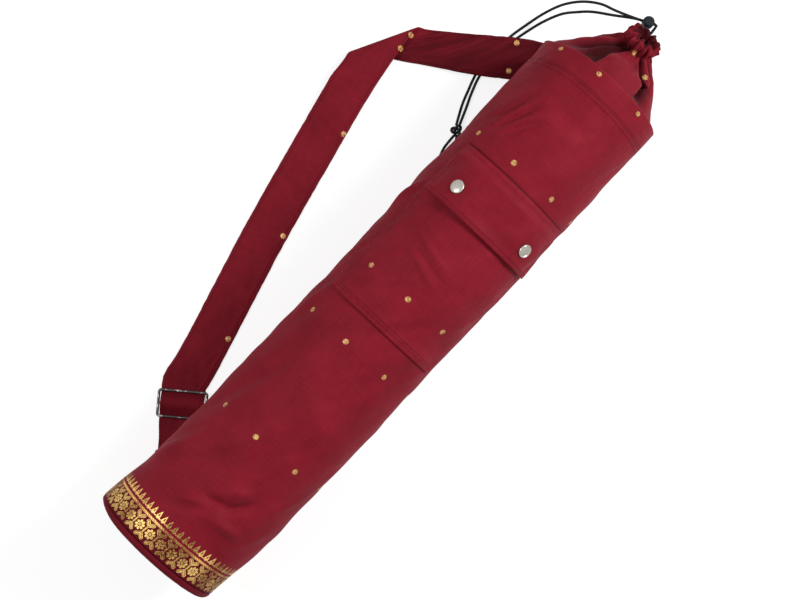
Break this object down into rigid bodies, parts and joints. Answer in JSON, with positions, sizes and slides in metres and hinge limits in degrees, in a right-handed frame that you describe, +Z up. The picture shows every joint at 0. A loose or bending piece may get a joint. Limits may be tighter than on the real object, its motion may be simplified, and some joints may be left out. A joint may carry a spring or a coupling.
{
  "type": "yoga mat bag",
  "caption": "Drawstring yoga mat bag of maroon sari cloth with a woven gold border, snap pocket and adjustable shoulder strap",
  "frame": {"origin": "middle of the flat spot under the bag's body, on the floor", "axes": "+X from the base to the gathered mouth, +Y to the side where the shoulder strap lies, +Z up through the pocket"},
  "size_m": [0.7595, 0.2987, 0.1612],
  "materials": {
    "maroon_cloth": "satin",
    "gold_weave": "satin",
    "dark_nickel": "polished",
    "bright_nickel": "polished",
    "black_cord": "matte",
    "grey_plastic": "matte",
    "spring_steel": "polished"
  },
  "bodies": {
    "bag": {"body_tube": "maroon_cloth", "border_band": "gold_weave", "base_piping": "maroon_cloth", "base_disc": "maroon_cloth", "mouth_collar": "maroon_cloth", "gathered_throat": "maroon_cloth", "drawcord_loop": "black_cord", "cord_strand_outer": "black_cord", "cord_strand_inner": "black_cord", "cord_knot": "black_cord", "cord_tail_1": "black_cord", "cord_tail_2": "black_cord", "pocket_pouch": "maroon_cloth", "pocket_flap": "maroon_cloth", "snap_stud_1": "bright_nickel", "snap_socket_1": "bright_nickel", "snap_eyelet_1": "bright_nickel", "snap_cap_1": "bright_nickel", "snap_stud_2": "bright_nickel", "snap_socket_2": "bright_nickel", "snap_eyelet_2": "bright_nickel", "snap_cap_2": "bright_nickel", "shoulder_strap": "maroon_cloth", "strap_slider": "dark_nickel", "strap_ring": "dark_nickel", "ring_tab": "maroon_cloth"},
    "cord_lock": {"lock_barrel": "grey_plastic", "lock_spring": "spring_steel"},
    "plunger": {"lock_plunger": "grey_plastic"}
  },
  "joints": [
    {"name": "cord_lock_slide", "type": "slide", "parent": "bag", "child": "cord_lock", "axis": [-0.4392, 0.8984, 0], "range_m": [0, 0.0045]},
    {"name": "plunger_press", "type": "slide", "parent": "cord_lock", "child": "plunger", "axis": [0, 0, -1], "range_m": [0, 0.0025], "stiffness_N_per_m": 300, "springref_m": -0.0005, "deforming": ["lock_spring"]}
  ]
}
